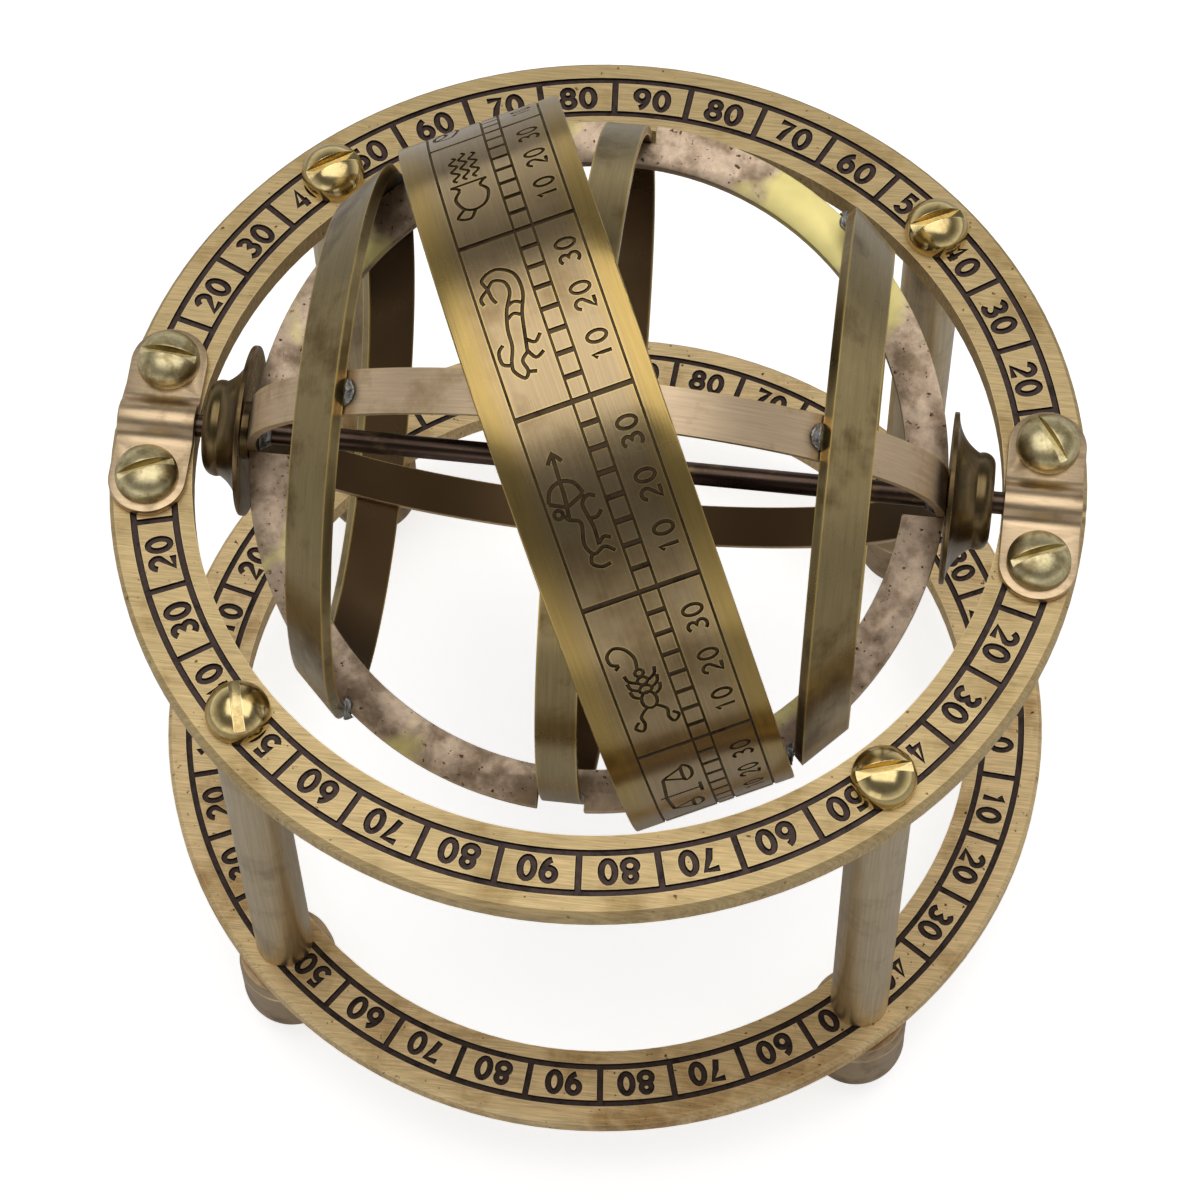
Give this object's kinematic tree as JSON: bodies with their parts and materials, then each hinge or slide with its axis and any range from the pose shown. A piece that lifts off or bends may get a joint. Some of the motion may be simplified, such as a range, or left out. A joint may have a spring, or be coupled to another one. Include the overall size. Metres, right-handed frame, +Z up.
{
  "type": "armillary sphere",
  "caption": "Small brass armillary sphere whose hoops turn as one on a level axle, clamped under saddles on a graduated horizon ring, with pillars, a base ring and round feet.",
  "frame": {"origin": "on the surface that the feet stand on, under the middle of the two rings", "axes": "+Z up, +X along the axle to the right as seen from the front, -Y the front"},
  "size_m": [0.1, 0.1, 0.1109],
  "materials": {
    "ring_brass": "aged, brushed, with dark filled engraving",
    "saddle_brass": "worn and tarnished",
    "pillar_brass": "drawn rod, lightly tarnished",
    "screw_brass": "turned and polished",
    "foot_brass": "turned, dull brown tarnish",
    "axle_brass": "drawn rod, dark tarnish",
    "cap_brass": "turned, dark tarnish with worn rims",
    "arc_brass": "mottled tarnish with bright patches",
    "hoop_brass": "rolled strip, worn along the edges",
    "band_brass": "rolled strip with dark filled engraving",
    "solder": "dull grey soft solder"
  },
  "bodies": {
    "stand": {"horizon_ring": "ring_brass", "base_ring": "ring_brass", "saddle_left": "saddle_brass", "saddle_right": "saddle_brass", "pillar_front_left": "pillar_brass", "pillar_screw_front_left": "screw_brass", "foot_front_left": "foot_brass", "pillar_front_right": "pillar_brass", "pillar_screw_front_right": "screw_brass", "foot_front_right": "foot_brass", "pillar_back_left": "pillar_brass", "pillar_screw_back_left": "screw_brass", "foot_back_left": "foot_brass", "pillar_back_right": "pillar_brass", "pillar_screw_back_right": "screw_brass", "foot_back_right": "foot_brass", "saddle_screw_left_front": "screw_brass", "saddle_screw_left_back": "screw_brass", "saddle_screw_right_front": "screw_brass", "saddle_screw_right_back": "screw_brass"},
    "sphere": {"axle": "axle_brass", "pole_cap_left": "cap_brass", "pole_cap_right": "cap_brass", "solstice_arc_front": "arc_brass", "solstice_arc_back": "arc_brass", "equinox_hoop": "hoop_brass", "equator_hoop": "hoop_brass", "tropic_hoop_left": "hoop_brass", "tropic_hoop_right": "hoop_brass", "zodiac_band": "band_brass", "solder_joints": "solder"}
  },
  "joints": [
    {"name": "sphere_spin", "type": "hinge", "parent": "stand", "child": "sphere", "pos_m": [0, 0, 0.0732], "axis": [1, 0, 0], "continuous": true}
  ]
}
